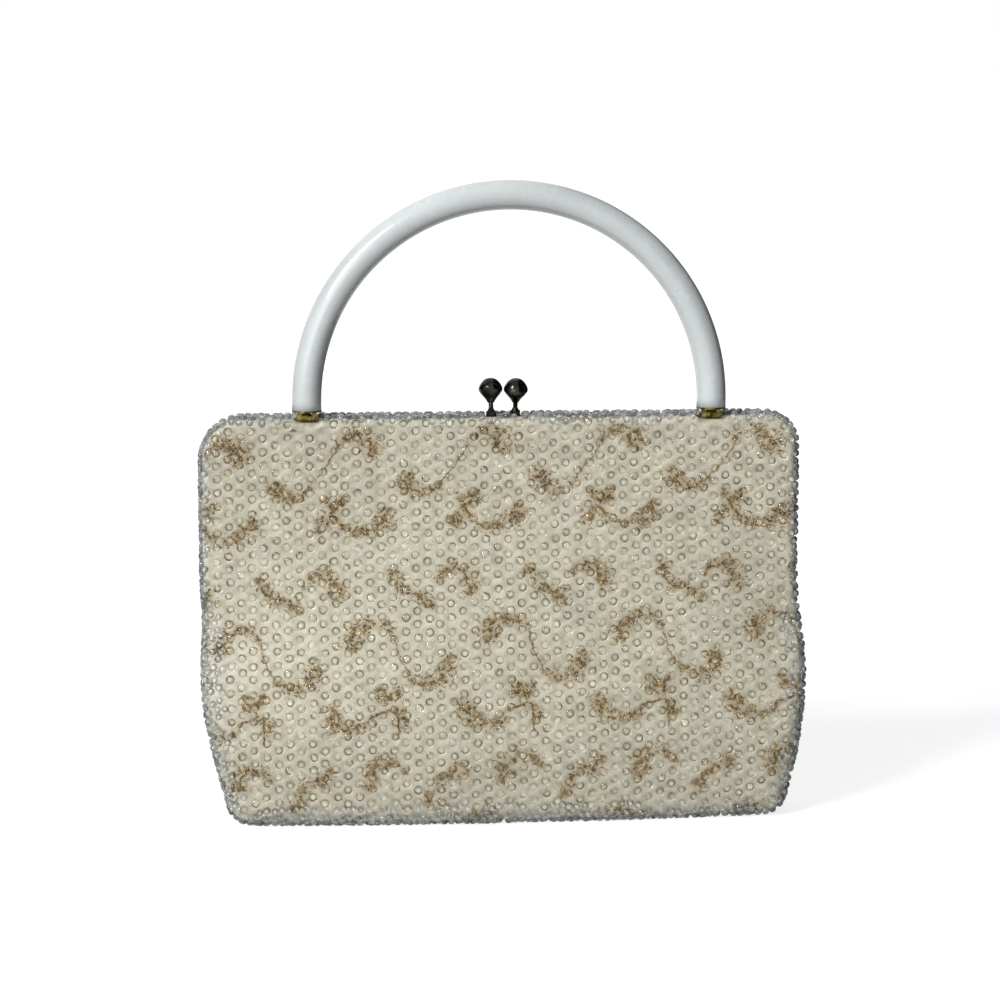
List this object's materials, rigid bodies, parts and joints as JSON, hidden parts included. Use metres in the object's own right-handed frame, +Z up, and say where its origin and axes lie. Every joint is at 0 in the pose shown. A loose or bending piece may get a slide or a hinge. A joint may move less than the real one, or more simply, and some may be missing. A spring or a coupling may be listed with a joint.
{
  "type": "kiss lock frame purse",
  "caption": "Beaded evening purse on a hinged frame that opens both ways, shut by a ball kiss lock, with an arched tube handle that folds forward.",
  "frame": {"origin": "on the floor, under the middle of the base", "axes": "+Z up, +X along the frame to the right as seen from the front, front faces -Y"},
  "size_m": [0.233, 0.055, 0.245],
  "materials": {
    "beaded_brocade": "cream satin brocade with metallic gold scrolls, sewn all over with clear glass beads",
    "satin_lining": "cream satin",
    "pasteboard": "grey-brown pasteboard",
    "steel": "plain steel, hidden",
    "white_plastic": "glossy white",
    "gunmetal": "dark polished plating",
    "gilt_brass": "gold-tone, slightly worn"
  },
  "bodies": {
    "pouch": {"base_panel": "beaded_brocade", "base_board": "pasteboard", "front_panel_lower": "beaded_brocade", "rear_panel_lower": "beaded_brocade", "front_panel_crease": "beaded_brocade", "rear_panel_crease": "beaded_brocade", "left_gusset": "beaded_brocade", "right_gusset": "beaded_brocade", "base_lining": "satin_lining", "front_lining_lower": "satin_lining", "rear_lining_lower": "satin_lining", "front_lining_crease": "satin_lining", "rear_lining_crease": "satin_lining", "left_gusset_lining": "satin_lining", "right_gusset_lining": "satin_lining", "slip_pocket": "satin_lining"},
    "front_half": {"front_rail": "steel", "front_inner_frame": "gilt_brass", "front_panel_upper": "beaded_brocade", "front_lining_upper": "satin_lining", "front_clasp_arm": "gunmetal", "front_clasp_ball": "gunmetal", "front_clasp_rivets": "gilt_brass", "left_handle_lug": "gilt_brass", "right_handle_lug": "gilt_brass", "handle_lug_rivets": "gilt_brass"},
    "rear_half": {"rear_rail": "steel", "rear_inner_frame": "gilt_brass", "rear_panel_upper": "beaded_brocade", "rear_lining_upper": "satin_lining", "rear_clasp_arm": "gunmetal", "rear_clasp_ball": "gunmetal", "rear_clasp_rivets": "gilt_brass", "left_hinge_rivet": "gilt_brass", "right_hinge_rivet": "gilt_brass"},
    "handle": {"handle_tube": "white_plastic", "handle_core": "steel", "left_handle_ferrule": "gilt_brass", "right_handle_ferrule": "gilt_brass", "left_pivot_pin": "gilt_brass", "right_pivot_pin": "gilt_brass"}
  },
  "joints": [
    {"name": "front_opening", "type": "hinge", "parent": "pouch", "child": "front_half", "pos_m": [0, 0, 0.085], "axis": [1, 0, 0], "range_deg": [0, 40], "deforming": ["front_panel_crease", "rear_panel_crease", "front_lining_crease", "rear_lining_crease"]},
    {"name": "rear_opening", "type": "hinge", "parent": "pouch", "child": "rear_half", "pos_m": [0, 0, 0.085], "axis": [-1, 0, 0], "range_deg": [0, 40]},
    {"name": "handle_swing", "type": "hinge", "parent": "front_half", "child": "handle", "pos_m": [0.0034, -0.006, 0.1562], "axis": [1, 0, 0], "range_deg": [0, 60]}
  ],
  "couplings": [
    {"joint": "rear_opening", "follows": "front_opening", "ratio": 1}
  ]
}
